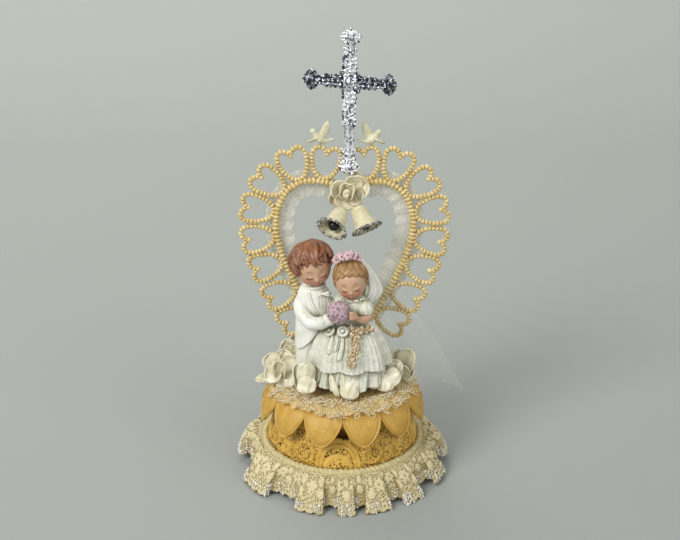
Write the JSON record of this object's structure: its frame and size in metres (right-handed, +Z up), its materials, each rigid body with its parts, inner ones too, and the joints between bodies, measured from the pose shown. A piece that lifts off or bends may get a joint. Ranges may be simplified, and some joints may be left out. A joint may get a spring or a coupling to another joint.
{
  "type": "wedding cake topper",
  "caption": "Wedding cake topper: a child bride and groom before a beaded lace heart with doves, hanging bells and a chromed cross, on a petalled base with a lace skirt.",
  "frame": {"origin": "centre of the bounding box at the level on which the base stands", "axes": "+Z up through the cross, -Y to the front, +X to the bride's side"},
  "size_m": [0.1216, 0.1112, 0.24],
  "materials": {
    "yellow_plastic": "moulded, semi-gloss",
    "petal_plastic": "moulded, finely engraved",
    "cream_plastic": "moulded beads, semi-gloss",
    "dove_plastic": "translucent, semi-gloss",
    "lace": "cotton lace with a silver thread",
    "tulle": "fine glittered net",
    "bisque": "unglazed bisque, hand painted",
    "satin": "stiffened satin",
    "chrome": "polished, finely textured",
    "flocking": "flocked, glittered rim",
    "black_bead": "gloss",
    "wire": "plain",
    "copper_glitter": "glitter"
  },
  "bodies": {
    "topper": {"base_skirt": "yellow_plastic", "petal_canopy": "petal_plastic", "lace_header": "lace", "lace_ruffle": "lace", "tulle_ruffle": "tulle", "couple_figurine": "bisque", "bead_garland": "copper_glitter", "rose_left": "satin", "rose_left_rear": "satin", "rose_right": "satin", "rose_right_front": "satin", "rose_front_left": "satin", "rose_front": "satin", "heart_frame": "cream_plastic", "heart_lace_trim": "lace", "dove_left": "dove_plastic", "dove_right": "dove_plastic", "cross": "chrome", "cleft_rose": "satin", "bell_hanger": "wire", "tulle_veil": "tulle"},
    "bell_left_body": {"bell_left": "flocking", "clapper_left": "black_bead"},
    "bell_right_body": {"bell_right": "flocking", "clapper_right": "black_bead"}
  },
  "joints": [
    {"name": "bell_left_swing", "type": "hinge", "parent": "topper", "child": "bell_left_body", "pos_m": [-0.0046, 0.004, 0.1463], "axis": [0, 1, 0], "range_deg": [0, 25]},
    {"name": "bell_right_swing", "type": "hinge", "parent": "topper", "child": "bell_right_body", "pos_m": [0.0016, 0.004, 0.1488], "axis": [0, -1, 0], "range_deg": [0, 25]}
  ]
}
